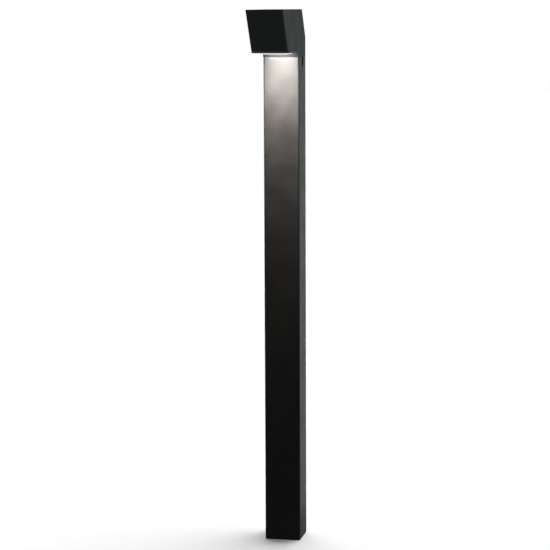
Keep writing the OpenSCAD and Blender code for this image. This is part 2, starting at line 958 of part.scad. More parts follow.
module gear_socket() {
    color("#202224") {
        translate([0, 0, tray_z0])
            mirror([0, 0, 1])
                socket(tray_z0 - gear_socket_z);
        translate([0, 0, tray_z0 - eps])
            cylinder(r = 5, h = inlet_top - tray_z0 + eps);
    }
}

module driver_lead() {
    color("#141516")
        cable(driver_route, lead_d / 2, 10);
}

module led_lead() {
    color("#e8e6df")
        cable(led_route, lead_d / 2, 10);
}

// ---- light engine ----

module heat_plate() {
    color("#c2c5c8")
        difference() {
            translate([-plate_w / 2, plate_y0, plate_z])
                cube([plate_w, plate_y1 - plate_y0, plate_t]);
            at_pairs(plate_screw_x, plate_screw_ys)
                translate([0, 0, plate_z - 1])
                    cylinder(r = m4_clear_r, h = plate_t + 2);
            at_pairs(board_screw_x, board_screw_ys)
                translate([0, 0, plate_z - 1])
                    cylinder(r = m3_tap_r, h = plate_t);
        }
}

module heat_plate_screws() {
    color("#c6c8ca")
        at_pairs(plate_screw_x, plate_screw_ys)
            translate([0, 0, plate_z - 3])
                pan_screw(3.5, 3, m4_r, plate_t + 8, 1.7);
}

module thermal_pad() {
    pad_w = 34;
    color("#8f9aa8")
        translate([-pad_w / 2, board_y0 + 2, plate_z - pad_t])
            cube([pad_w, board_y1 - board_y0 - 4, pad_t]);
}

module led_board() {
    color("#f1f1ec")
        difference() {
            translate([-board_w / 2, board_y0, board_z])
                cube([board_w, board_y1 - board_y0, board_t]);
            at_pairs(board_screw_x, board_screw_ys)
                translate([0, 0, board_z - 1])
                    cylinder(r = m3_clear_r, h = board_t + 2);
        }
}

module board_screws() {
    color("#c6c8ca")
        at_pairs(board_screw_x, board_screw_ys)
            translate([0, 0, board_z - 2])
                pan_screw(2.7, 2, m3_r, board_t + pad_t + 2.4, 1.2);
}

module led_chips() {
    color("#f3e08a")
        for (side = [-1, 1], i = [0 : chip_rows - 1])
            translate([
                side * chip_pitch / 2 - chip_w / 2,
                chip_mid + (i - (chip_rows - 1) / 2) * chip_pitch - chip_w / 2,
                board_z - chip_t
            ])
                cube([chip_w, chip_w, chip_t]);
}

module led_connector() {
    body = [10, 6, 5];
    latch = [4, 2, 1];
    color("#f6f4ec")
        difference() {
            translate([-body.x / 2, board_y1 - body.y, board_z - body.z])
                cube(body);
            translate([-latch.x / 2, board_y1 - body.y - 1, board_z - body.z - 0.2])
                cube([latch.x, latch.y + 1, latch.z + 0.2]);
        }
}

// Flared reflector between the lens opening and the board
module reflector() {
    top_w = 26;
    top_l = 38;
    foot_w = lens_w + 1;
    foot_l = lens_l + 1;
    rim_t = 1.2;
    color("#e9ebee")
        translate([0, lens_mid, ledge_z])
            difference() {
                union() {
                    linear_extrude(height = rim_t)
                        square([foot_w + 5, foot_l + 4], center = true);
                    frustum(foot_w + 2 * reflector_t, foot_l + 2 * reflector_t,
                            top_w + 2 * reflector_t, top_l + 2 * reflector_t, 0, reflector_h);
                }
                frustum(foot_w, foot_l, top_w, top_l, -eps, reflector_h + eps);
            }
}

// Four-sided frustum from z0 to z1
module frustum(w0, l0, w1, l1, z0, z1) {
    polyhedron(
        [
            [-w0 / 2, -l0 / 2, z0], [w0 / 2, -l0 / 2, z0], [w0 / 2, l0 / 2, z0], [-w0 / 2, l0 / 2, z0],
            [-w1 / 2, -l1 / 2, z1], [w1 / 2, -l1 / 2, z1], [w1 / 2, l1 / 2, z1], [-w1 / 2, l1 / 2, z1]
        ],
        [
            [0, 1, 2, 3], [7, 6, 5, 4], [0, 4, 5, 1], [1, 5, 6, 2], [2, 6, 7, 3], [3, 7, 4, 0]
        ]
    );
}

// Moulded lens: a flange that the frame holds, and a raised panel that stands through the frame
module lens() {
    flange_z = head_z + frame_t;
    color("#eef6fb", 0.5)
        translate([0, lens_mid, 0]) {
            rounded_bar(pocket_w - 2 * lens_gap, pocket_l - 2 * lens_gap, lens_corner + 2,
                        flange_z, flange_z + flange_t);
            rounded_bar(lens_w, lens_l, lens_corner, head_z - lens_drop, flange_z + eps);
        }
}

module lens_gasket() {
    seal_z = head_z + frame_t + flange_t;
    color("#101112")
        translate([0, lens_mid, 0])
            difference() {
                rounded_bar(pocket_w - 2 * lens_gap, pocket_l - 2 * lens_gap, lens_corner + 2,
                            seal_z, seal_z + seal_t);
                rounded_bar(lens_w + 1, lens_l + 1, lens_corner, seal_z - 1, seal_z + seal_t + 1);
            }
}

module lens_frame() {
    color("#1b1d1f")
        difference() {
            translate([0, frame_mid, 0])
                rounded_bar(frame_w, frame_l, 1.5, head_z, head_z + frame_t);
            translate([0, lens_mid, 0])
                rounded_bar(lens_w + 2 * lens_gap, lens_l + 2 * lens_gap, lens_corner,
                            head_z - 1, head_z + frame_t + 1);
            at_pairs(frame_screw_x, frame_screw_ys)
                translate([0, 0, head_z - eps]) {
                    cylinder(r1 = frame_screw_head_r + 0.15, r2 = m3_r + 0.15, h = frame_screw_head_t);
                    cylinder(r = m3_r + 0.15, h = frame_t + 1);
                }
        }
}

// Countersunk screws that hold the lens frame from below
module frame_screws() {
    color("#2a2b2c")
        at_pairs(frame_screw_x, frame_screw_ys)
            translate([0, 0, head_z])
                difference() {
                    union() {
                        cylinder(r1 = frame_screw_head_r, r2 = m3_r, h = frame_screw_head_t);
                        cylinder(r = m3_r, h = frame_screw_l);
                    }
                    translate([0, 0, -eps])
                        cylinder(r = 1, h = 1.2, $fn = 6);
                }
}

foot_gasket();
anchor_plate();
anchor_sleeve();
foot_lock_screws();
junction_bracket();
bracket_screws();
junction_box();
junction_lid();
lid_screws();
terminal_block();
terminal_screws();
outlet_cores();
gland_body();
gland_cap();
gland_seal();
gland_locknut();
junction_socket();
earth_screw();
earth_lug();
earth_lead();
post_tube();
feed_cable();
lower_plug();
upper_plug();
cable_clips();
head_housing();
seam_gasket();
neck();
neck_screws();
head_lock_screws();
cable_grommet();
vent_plug();
gear_tray();
tray_screws();
driver();
driver_screws();
gear_socket();
driver_lead();
led_lead();
heat_plate();
heat_plate_screws();
thermal_pad();
led_board();
board_screws();
led_chips();
led_connector();
reflector();
lens_gasket();
lens();
lens_frame();
frame_screws();
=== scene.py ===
"""Looks of the bollard light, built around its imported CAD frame. Metres, +Z up, the lamp faces -Y."""

import json
import math

import bmesh
import bpy
from mathutils import Matrix, Vector

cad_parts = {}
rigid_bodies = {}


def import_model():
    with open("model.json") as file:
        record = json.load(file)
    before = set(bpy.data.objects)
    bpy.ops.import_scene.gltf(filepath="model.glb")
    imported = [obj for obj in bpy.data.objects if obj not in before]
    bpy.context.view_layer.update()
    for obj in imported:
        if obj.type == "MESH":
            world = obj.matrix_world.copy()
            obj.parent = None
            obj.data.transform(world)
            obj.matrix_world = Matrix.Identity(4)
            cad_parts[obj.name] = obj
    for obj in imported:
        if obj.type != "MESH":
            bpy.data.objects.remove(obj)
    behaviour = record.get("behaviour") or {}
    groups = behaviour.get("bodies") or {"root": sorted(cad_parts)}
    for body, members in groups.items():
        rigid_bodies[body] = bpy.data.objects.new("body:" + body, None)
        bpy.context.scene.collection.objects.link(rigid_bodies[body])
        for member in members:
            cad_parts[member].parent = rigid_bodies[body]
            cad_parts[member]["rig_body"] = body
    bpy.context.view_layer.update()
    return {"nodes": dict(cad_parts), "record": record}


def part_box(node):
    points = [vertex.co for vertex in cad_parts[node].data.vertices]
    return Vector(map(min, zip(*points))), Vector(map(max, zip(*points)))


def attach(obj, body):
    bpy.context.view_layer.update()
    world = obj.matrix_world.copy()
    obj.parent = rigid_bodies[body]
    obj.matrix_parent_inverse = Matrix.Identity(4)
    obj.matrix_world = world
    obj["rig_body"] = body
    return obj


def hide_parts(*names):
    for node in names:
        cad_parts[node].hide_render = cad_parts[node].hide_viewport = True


MM = 0.001

CAMERA_PLACE = (0.6582, -3.3728, 0.9025)
CAMERA_YAW, CAMERA_PITCH, CAMERA_ROLL = 11.33, 7.54, 0.23  # degrees: to the left, down, and about the view
CAMERA_LENS, CAMERA_SENSOR = 135.2, 36  # millimetres

LAMP_COLOUR = (1.0, 0.87, 0.79)
GLOW_COLOUR = (1.0, 0.95, 0.89)
COAT = (0.0105, 0.0112, 0.0115)
CAST_COAT = (0.0094, 0.0113, 0.0135)

# Bevel widths in millimetres, for the nodes whose edges are broken wider than SMALL_EDGE.
EDGE_WIDTHS = {
    "post_tube": 0.35, "head_housing": 0.5, "lens_frame": 0.3, "neck": 0.5, "anchor_sleeve": 0.5,
    "anchor_plate": 0.4, "junction_box": 0.5, "junction_lid": 0.5, "driver": 0.5, "gear_tray": 0.3,
    "junction_bracket": 0.3, "heat_plate": 0.3, "terminal_block": 0.35, "cable_clips": 0.5,
    "foot_gasket": 0.3, "seam_gasket": 0.15, "junction_socket": 0.4, "gear_socket": 0.4,
    "lower_plug": 0.35, "upper_plug": 0.35, "gland_body": 0.3, "gland_cap": 0.25, "gland_locknut": 0.3,
    "led_connector": 0.25, "foot_lock_screws": 0.2, "head_lock_screws": 0.2,
}
SMALL_EDGE = 0.12
EDGE_SEGMENTS = 3
SHARP_ANGLE = 32  # degrees between faces, from which an edge is bevelled
WELD_GAP = 0.005 * MM

# Pierced nodes whose flat faces are each joined into one before their edges are broken.
FLATTENED = (
    "head_housing", "gear_tray", "junction_bracket", "junction_lid", "led_board", "anchor_plate",
    "cable_clips",
)
FLAT_ANGLE = 0.4  # degrees

LIT_BY_LAMP = ("head_housing", "post_tube", "seam_gasket", "head_lock_screws")
GLOW_POWER, GLOW_SPREAD = 0.97, 180  # watts, and degrees
BEAM_POWER, BEAM_SPREAD = 1.95, 117
RIM_POWER, RIM_SPREAD = 0.068, 110

SUN_STRENGTH, SUN_ANGLE = 3.3, 50
SUN_HEADING = (-0.12, -0.3, -0.95)
WORLD_COLOUR = (0.95, 1, 0.985, 1)

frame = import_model()
nodes = frame["nodes"]
scene = bpy.context.scene


# ---- camera ----


def make_camera():
    """The photograph's camera: a long lens, in front and a little to the right, level with the head."""
    yaw, pitch, roll = (math.radians(a) for a in (CAMERA_YAW, CAMERA_PITCH, CAMERA_ROLL))
    right = Vector((math.cos(yaw), math.sin(yaw), 0.0))
    level = Vector((-math.sin(yaw), math.cos(yaw), 0.0))
    forward = level * math.cos(pitch) - Vector((0, 0, math.sin(pitch)))
    up = right.cross(forward)
    right_rolled = right * math.cos(roll) - up * math.sin(roll)
    up_rolled = right * math.sin(roll) + up * math.cos(roll)
    turn = Matrix((right_rolled, up_rolled, -forward)).transposed()
    data = bpy.data.cameras.new("camera")
    data.lens = CAMERA_LENS
    data.sensor_width = CAMERA_SENSOR
    data.clip_end = 100
    camera = bpy.data.objects.new("camera", data)
    camera.matrix_world = Matrix.Translation(CAMERA_PLACE) @ turn.to_4x4()
    scene.collection.objects.link(camera)
    scene.camera = camera


# ---- materials ----


class Shader:
    """A material's node tree, with short calls for its nodes. Coordinates are metres on the piece."""

    def __init__(self, name):
        self.material = bpy.data.materials.new(name)
        self.material.use_nodes = True
        self.tree = self.material.node_tree
        self.bsdf = self.tree.nodes["Principled BSDF"]
        self.coords = self.tree.nodes.new("ShaderNodeTexCoord")

    def put(self, node, socket, value):
        """Sets a socket to a value, or links it to another node's output."""
        target = node.inputs[socket]
        if isinstance(value, bpy.types.NodeSocket):
            self.tree.links.new(value, target)
        elif hasattr(target.default_value, "__len__") and not hasattr(value, "__len__"):
            target.default_value = (value, value, value, 1)[: len(target.default_value)]
        else:
            target.default_value = value

    def set(self, **values):
        """Sets Principled sockets, with _ for spaces in their names."""
        for name, value in values.items():
            self.put(self.bsdf, name.replace("_", " "), value)

    def math(self, operation, a, b=0.0, clamp=False):
        node = self.tree.nodes.new("ShaderNodeMath")
        node.operation = operation
        node.use_clamp = clamp
        self.put(node, 0, a)
        self.put(node, 1, b)
        return node.outputs[0]

    def stretched(self, stretch):
        """Coordinates on the piece, in which a pattern is longer along an axis with a larger stretch."""
        mapping = self.tree.nodes.new("ShaderNodeMapping")
        mapping.inputs["Scale"].default_value = [1 / s for s in stretch]
        self.tree.links.new(self.coords.outputs["Object"], mapping.inputs["Vector"])
        return mapping.outputs["Vector"]

    def noise(self, size, detail=2.0, roughness=0.5, stretch=(1, 1, 1)):
        """Noise whose features are about size metres wide."""
        place = self.stretched(stretch)
        node = self.tree.nodes.new("ShaderNodeTexNoise")
        node.inputs["Scale"].default_value = 1 / size
        node.inputs["Detail"].default_value = detail
        node.inputs["Roughness"].default_value = roughness
        self.tree.links.new(place, node.inputs["Vector"])
        return node.outputs["Fac"]

    def cells(self, size, feature="F1", output="Distance", stretch=(1, 1, 1)):
        """Cell pattern whose cells are about size metres wide."""
        place = self.stretched(stretch)
        node = self.tree.nodes.new("ShaderNodeTexVoronoi")
        node.feature = feature
        node.inputs["Scale"].default_value = 1 / size
        self.tree.links.new(place, node.inputs["Vector"])
        return node.outputs[output]

    def remap(self, value, low, high, to_low=0.0, to_high=1.0):
        node = self.tree.nodes.new("ShaderNodeMapRange")
        node.interpolation_type = "SMOOTHSTEP"
        self.put(node, "Value", value)
        self.put(node, "From Min", low)
        self.put(node, "From Max", high)
        self.put(node, "To Min", to_low)
        self.put(node, "To Max", to_high)
        return node.outputs["Result"]

    def vary(self, noise, low, high):
        """From low to high, over the range that most of a noise lies in."""
        return self.remap(noise, 0.3, 0.7, low, high)

    def tones(self, noise, colour, dark, light):
        """The colour times dark to light, as the noise goes."""
        return self.mix(self.vary(noise, 0.0, 1.0), scaled(colour, dark), scaled(colour, light))

    def mix(self, factor, a, b):
        """Colour between a and b, which are (r, g, b) or colour outputs."""
        node = self.tree.nodes.new("ShaderNodeMix")
        node.data_type = "RGBA"
        node.clamp_factor = True
        self.put(node, 0, factor)
        for socket, colour in ((6, a), (7, b)):
            self.put(node, socket, colour if isinstance(colour, bpy.types.NodeSocket) else (*colour, 1))
        return node.outputs[2]

    def bump(self, *layers):
        """Bumps from (height output, depth in metres) layers, one over the other."""
        below = None
        for height, depth in layers:
            node = self.tree.nodes.new("ShaderNodeBump")
            node.inputs["Distance"].default_value = depth
            self.put(node, "Height", height)
            if below:
                self.put(node, "Normal", below)
            below = node.outputs["Normal"]
        self.set(Normal=below)

    def axis(self, coordinates, index):
        """One axis of the piece's "Object" or "Normal" coordinates."""
        split = self.tree.nodes.new("ShaderNodeSeparateXYZ")
        self.tree.links.new(self.coords.outputs[coordinates], split.inputs[0])
        return split.outputs[index]

    def rounded_edge(self):
        """1 in the middle of the long rounded corners, 0 on the flat faces."""
        across = self.math("ABSOLUTE", self.axis("Normal", 0))
        rest = self.math("SUBTRACT", 1.0, across)
        return self.math("MULTIPLY", self.math("MULTIPLY", across, rest), 4.0, clamp=True)


def scaled(colour, factor):
    return tuple(min(1.0, c * factor) for c in colour)


def powder_coat(name, colour, roughness, specular, dusty):
    """Fine-textured powder coat: pinhead grain over a slow orange peel, worn smooth along the corners."""
    s = Shader(name)
    patches = s.noise(0.035, 3)
    grain = s.cells(0.0006, "SMOOTH_F1")
    peel = s.noise(0.0035, 2)
    edge = s.math("MULTIPLY", s.rounded_edge(), s.remap(s.noise(0.009, 4, 0.65), 0.42, 0.62), clamp=True)
    base = s.mix(s.remap(patches, 0.35, 0.65), scaled(colour, 0.86), scaled(colour, 1.14))
    base = s.mix(s.remap(grain, 0.1, 0.75, 0.0, 0.35), base, scaled(colour, 1.7))
    base = s.mix(s.math("MULTIPLY", edge, 0.3), base, scaled(colour, 2.6))
    if dusty:
        low = s.remap(s.axis("Object", 2), 0.004, 0.085, 1.0, 0.0)
        dust = s.math("MULTIPLY", low, s.remap(s.noise(0.006, 5, 0.7), 0.45, 0.7), clamp=True)
        base = s.mix(s.math("MULTIPLY", dust, 0.1), base, (0.11, 0.1, 0.085))
    rough = s.vary(patches, roughness - 0.035, roughness + 0.035)
    if dusty:
        rough = s.math("ADD", rough, s.math("MULTIPLY", low, 0.25), clamp=True)
    rough = s.math("SUBTRACT", rough, s.math("MULTIPLY", edge, 0.08), clamp=True)
    s.set(Base_Color=base, Roughness=rough, Specular_IOR_Level=specular)
    s.bump((peel, 0.00002), (grain, 0.00003))
    return s.material


def cast_metal(name, colour, roughness):
    """Bare die casting: pebbled skin, faint flow marks and darker patches."""
    s = Shader(name)
    flow = s.noise(0.012, 4, 0.6, stretch=(1, 1, 4))
    skin = s.cells(0.0011, "SMOOTH_F1")
    spots = s.remap(s.noise(0.0028, 3, 0.6), 0.58, 0.72)
    base = s.tones(flow, colour, 0.8, 1.1)
    base = s.mix(s.math("MULTIPLY", spots, 0.45), base, scaled(colour, 0.5))
    s.set(Base_Color=base, Metallic=0.92, Roughness=s.vary(flow, roughness - 0.08, roughness + 0.1))
    s.bump((flow, 0.00012), (skin, 0.00007))
    return s.material


def zinc_steel(name, colour, roughness):
    """Zinc-plated steel: spangle in flat crystals, each with its own tone."""
    s = Shader(name)
    tone = s.cells(0.007, "F1", "Color")
    fine = s.noise(0.0015, 4, 0.6)
    base = s.mix(s.remap(tone, 0.1, 0.9), scaled(colour, 0.72), scaled(colour, 1.16))
    base = s.mix(s.remap(fine, 0.55, 0.75, 0.0, 0.3), base, scaled(colour, 0.55))
    rough = s.remap(tone, 0.0, 1.0, roughness - 0.07, roughness + 0.1)
    s.set(Base_Color=base, Metallic=1.0, Roughness=rough)
    s.bump((fine, 0.00002),)
    return s.material


def turned_metal(name, colour, roughness, size=0.0012):
    """Screws and turned fittings: plated metal with fine tool marks and a cloudy tone."""
    s = Shader(name)
    marks = s.noise(size, 3, 0.6, stretch=(1, 1, 5))
    cloud = s.noise(0.004, 3, 0.6)
    base = s.tones(cloud, colour, 0.78, 1.1)
    s.set(Base_Color=base, Metallic=1.0, Roughness=s.vary(marks, roughness - 0.07, roughness + 0.1))
    s.bump((marks, 0.00002),)
    return s.material


def brushed_plate(name, colour, roughness):
    """Rolled aluminium sheet, with its grain along Y."""
    s = Shader(name)
    grain = s.noise(0.0008, 3, 0.6, stretch=(1, 60, 1))
    smudge = s.noise(0.02, 3, 0.6)
    base = s.tones(smudge, colour, 0.84, 1.05)
    s.set(Base_Color=base, Metallic=1.0, Roughness=s.vary(grain, roughness - 0.08, roughness + 0.1))
    s.bump((grain, 0.00002),)
    return s.material


def moulded(name, colour, roughness, grain=0.0008, depth=0.00002, specular=0.5, emission=None):
    """Moulded plastic: spark-eroded grain, a slow sink over large faces, and slight mottling."""
    s = Shader(name)
    mottle = s.noise(0.012, 3, 0.6)
    texture = s.noise(grain, 3, 0.6)
    base = s.tones(mottle, colour, 0.9, 1.08)
    s.set(Base_Color=base, Specular_IOR_Level=specular)
    s.set(Roughness=s.vary(texture, roughness - 0.06, roughness + 0.08))
    if emission:
        s.set(Emission_Color=(*emission[0], 1), Emission_Strength=emission[1])
    s.bump((mottle, 0.00006), (texture, depth))
    return s.material


def rubber(name, colour, roughness):
    """Rubber: matt, with fine pores and a pale bloom in patches."""
    s = Shader(name)
    pores = s.cells(0.0009, "SMOOTH_F1")
    bloom = s.remap(s.noise(0.01, 4, 0.65), 0.5, 0.72)
    base = s.mix(s.math("MULTIPLY", bloom, 0.4), colour, scaled(colour, 2.4))
    rough = s.remap(bloom, 0.0, 1.0, roughness, roughness + 0.1)
    s.set(Base_Color=base, Specular_IOR_Level=0.3, Roughness=rough)
    s.bump((pores, 0.00005),)
    return s.material


def cable_sheath(name, colour, roughness):
    """Extruded PVC sheath: drawn lines along the run and a soft gloss."""
    s = Shader(name)
    lines = s.noise(0.0009, 3, 0.6, stretch=(1, 1, 30))
    dirt = s.noise(0.015, 4, 0.6)
    base = s.mix(s.remap(dirt, 0.35, 0.7), colour, scaled(colour, 0.78))
    s.set(Base_Color=base, Roughness=s.vary(lines, roughness - 0.05, roughness + 0.08))
    s.bump((lines, 0.00003),)
    return s.material


def two_colour_core(name, green, yellow, roughness):
    """Earth core: green with a yellow stripe along it."""
    s = Shader(name)
    stripe = s.remap(s.axis("Normal", 0), 0.15, 0.3)
    fine = s.noise(0.0008, 3, 0.6)
    base = s.mix(stripe, green, yellow)
    s.set(Base_Color=base, Roughness=s.vary(fine, roughness - 0.05, roughness + 0.08))
    s.bump((fine, 0.00002),)
    return s.material


def circuit_board(name, mask, trace):
    """White solder mask over faint raised tracks."""
    s = Shader(name)
    blocks = s.cells(0.0065, "F1", "Color")
    tracks = s.remap(s.cells(0.0065, "DISTANCE_TO_EDGE"), 0.05, 0.09, 1.0, 0.0)
    fine = s.noise(0.0006, 2)
    blotched = s.mix(s.remap(blocks, 0, 1, 0, 0.12), mask, scaled(mask, 0.9))
    base = s.mix(s.math("MULTIPLY", tracks, 0.3), blotched, trace)
    s.set(Base_Color=base, Roughness=s.vary(fine, 0.3, 0.42))
    s.bump((tracks, 0.00003), (fine, 0.000006))
    return s.material


def mirror_coat(name, colour):
    """Vacuum-metallised reflector: bright, with faint ripples."""
    s = Shader(name)
    ripple = s.noise(0.006, 3, 0.5)
    haze = s.noise(0.02, 4, 0.65)
    base = s.tones(haze, colour, 0.93, 1.0)
    s.set(Base_Color=base, Metallic=0.95, Roughness=s.vary(haze, 0.1, 0.2))
    s.bump((ripple, 0.00005),)
    return s.material


def lit_lens(name, colour, strength):
    """Frosted optic, lit from behind: warm white, with fine frosting."""
    s = Shader(name)
    frost = s.noise(0.0007, 3, 0.6)
    cloud = s.noise(0.01, 2)
    base = s.tones(cloud, colour, 0.94, 1.0)
    s.set(Base_Color=base, Roughness=s.vary(frost, 0.22, 0.34), Emission_Color=(*LAMP_COLOUR, 1))
    s.set(Emission_Strength=strength)
    s.bump((frost, 0.00002),)
    return s.material


def pale_floor(name, colour):
    """Plain matt floor, with the faintest clouding."""
    s = Shader(name)
    cloud = s.noise(0.6, 4, 0.6)
    grain = s.noise(0.004, 3, 0.6)
    s.set(Base_Color=s.tones(cloud, colour, 0.985, 1.0), Specular_IOR_Level=0.2)
    s.set(Roughness=s.vary(grain, 0.7, 0.8))
    return s.material


FINISHES = {
    "coated_metal": powder_coat("coated_metal", COAT, 0.5, 0.4, True),
    "coated_cast": powder_coat("coated_cast", CAST_COAT, 0.57, 0.15, False),
    "bare_casting": cast_metal("bare_casting", (0.55, 0.56, 0.57), 0.46),
    "plate_metal": brushed_plate("plate_metal", (0.72, 0.73, 0.74), 0.34),
    "zinc_steel": zinc_steel("zinc_steel", (0.62, 0.63, 0.64), 0.32),
    "screw_steel": turned_metal("screw_steel", (0.62, 0.63, 0.64), 0.27),
    "black_steel": turned_metal("black_steel", (0.045, 0.046, 0.049), 0.36),
    "brass": turned_metal("brass", (0.72, 0.53, 0.22), 0.28),
    "black_rubber": rubber("black_rubber", (0.018, 0.018, 0.019), 0.72),
    "black_plastic": moulded("black_plastic", (0.03, 0.031, 0.033), 0.42),
    "grey_plastic": moulded("grey_plastic", (0.1, 0.105, 0.11), 0.45, 0.001, 0.00003),
    "pale_plastic": moulded("pale_plastic", (0.76, 0.75, 0.71), 0.35),
    "white_plastic": moulded("white_plastic", (0.85, 0.85, 0.83), 0.38, 0.001, 0.00002),
    "reflector_white": mirror_coat("reflector_white", (0.9, 0.91, 0.92)),
    "cable_black": cable_sheath("cable_black", (0.02, 0.02, 0.021), 0.4),
    "cable_white": cable_sheath("cable_white", (0.8, 0.79, 0.74), 0.38),
    "core_brown": cable_sheath("core_brown", (0.22, 0.09, 0.035), 0.35),
    "earth_green": two_colour_core("earth_green", (0.07, 0.3, 0.05), (0.75, 0.62, 0.05), 0.36),
    "pad_grey": rubber("pad_grey", (0.35, 0.4, 0.47), 0.68),
    "board_white": circuit_board("board_white", (0.86, 0.86, 0.83), (0.62, 0.6, 0.52)),
    "led_phosphor": moulded(
        "led_phosphor", (0.9, 0.72, 0.22), 0.3, 0.0004, 0.00001, emission=(LAMP_COLOUR, 3.0)
    ),
    "lens_clear": lit_lens("lens_clear", (0.93, 0.95, 0.96), 0.74),
}

FINISH_OF_NODE = {s["node"]: s["material_slot"] for s in frame["record"]["subparts"]}
FINISH_OF_NODE["head_housing"] = "coated_cast"
for name in nodes:
    if name.endswith("_screws") and FINISH_OF_NODE[name] == "zinc_steel":
        FINISH_OF_NODE[name] = "screw_steel"


def paint(obj, finish):
    obj.data.materials.clear()
    obj.data.materials.append(FINISHES[finish])


# ---- CAD nodes: finishes and broken edges ----


def soften(obj, width):
    """Breaks the sharp edges of a CAD node by width.

    On the post tube, Blender's clamp on overlaps shrinks the bevel to almost nothing.
    """
    weld = obj.modifiers.new("weld", "WELD")
    weld.merge_threshold = WELD_GAP
    if obj.name in FLATTENED:
        flats = obj.modifiers.new("flats", "DECIMATE")
        flats.decimate_type = "DISSOLVE"
        flats.angle_limit = math.radians(FLAT_ANGLE)
    bevel = obj.modifiers.new("edges", "BEVEL")
    bevel.width = width
    bevel.segments = EDGE_SEGMENTS
    bevel.limit_method = "ANGLE"
    bevel.angle_limit = math.radians(SHARP_ANGLE)
    bevel.miter_outer = "MITER_ARC"
    normals = obj.modifiers.new("normals", "WEIGHTED_NORMAL")
    normals.keep_sharp = True
    for face in obj.data.polygons:
        face.use_smooth = True


for name, obj in nodes.items():
    paint(obj, FINISH_OF_NODE[name])
    soften(obj, EDGE_WIDTHS.get(name, SMALL_EDGE) * MM)


# ---- pieces built here ----


def mesh_object(name, vertices, faces):
    mesh = bpy.data.meshes.new(name)
    mesh.from_pydata([tuple(v) for v in vertices], [], faces)
    mesh.validate()
    for face in mesh.polygons:
        face.use_smooth = True
    obj = bpy.data.objects.new(name, mesh)
    scene.collection.objects.link(obj)
    return obj


def stand_for(obj, node, finish=None):
    """obj takes the CAD node's place, body, slot and finish."""
    slot = next(s["material_slot"] for s in frame["record"]["subparts"] if s["node"] == node)
    paint(obj, finish or slot)
    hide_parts(node)
    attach(obj, nodes[node]["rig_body"])


def smooth_route(points, steps=6):
    """A smooth line through the points (centripetal Catmull-Rom)."""
    points = [Vector(p) for p in points]
    padded = [2 * points[0] - points[1], *points, 2 * points[-1] - points[-2]]
    line = []
    for i in range(len(points) - 1):
        p = padded[i : i + 4]
        t = [0.0]
        for a, b in zip(p, p[1:]):
            t.append(t[-1] + max((b - a).length, 1e-9) ** 0.5)
        for k in range(steps):
            u = t[1] + (t[2] - t[1]) * k / steps
            a = [
                (p[j] * (t[j + 1] - u) + p[j + 1] * (u - t[j])) / (t[j + 1] - t[j])
                for j in range(3)
            ]
            b = [
                (a[j] * (t[j + 2] - u) + a[j + 1] * (u - t[j])) / (t[j + 2] - t[j])
                for j in range(2)
            ]
            line.append((b[0] * (t[2] - u) + b[1] * (u - t[1])) / (t[2] - t[1]))
    return [*line, points[-1]]


def tube_mesh(line, radius, sides=20):
    """Vertices and faces of a round tube along the line, with slightly rounded ends."""
    vertices, faces = [], []
    heading = (line[1] - line[0]).normalized()
    side = heading.orthogonal().normalized()
    round_l = radius * 0.15
    rings = []
    for i, centre in enumerate(line):
        new = (line[min(i + 1, len(line) - 1)] - line[max(i - 1, 0)]).normalized()
        side = (side - new * side.dot(new)).normalized()
        rings.append((centre, new, side, radius))
    first, last = rings[0], rings[-1]
    rings[0] = (first[0] + first[1] * round_l, *first[1:])
    rings[-1] = (last[0] - last[1] * round_l, *last[1:])
    rings = [(first[0], *first[1:3], radius - round_l), *rings, (last[0], *last[1:3], radius - round_l)]
    for centre, along, out, r in rings:
        other = along.cross(out)
        for k in range(sides):
            a = 2 * math.pi * k / sides
            vertices.append(centre + r * (math.cos(a) * out + math.sin(a) * other))
    for i in range(len(rings) - 1):
        for k in range(sides):
            n = (k + 1) % sides
            faces.append((i * sides + k, i * sides + n, (i + 1) * sides + n, (i + 1) * sides + k))
    faces.append(tuple(reversed(range(sides))))
    faces.append(tuple((len(rings) - 1) * sides + k for k in range(sides)))
    return vertices, faces


def tubes(name, routes, radius, sides=20):
    """One object of round tubes, one for each route."""
    vertices, faces = [], []
    for route in routes:
        v, f = tube_mesh(smooth_route(route), radius, sides)
        faces += [tuple(i + len(vertices) for i in face) for face in f]
        vertices += v
    return mesh_object(name, vertices, faces)


def rounded_outline(u, v, w, l, r):
    """Maps (u, v) in [-1, 1] to a rectangle w by l with corner radius r."""
    x, y = abs(u) * w / 2, abs(v) * l / 2
    dx, dy = x - (w / 2 - r), y - (l / 2 - r)
    if dx > 0 and dy > 0:
        pull = max(dx, dy) / math.hypot(dx, dy)
        x, y = w / 2 - r + dx * pull, l / 2 - r + dy * pull
    return math.copysign(x, u), math.copysign(y, v)


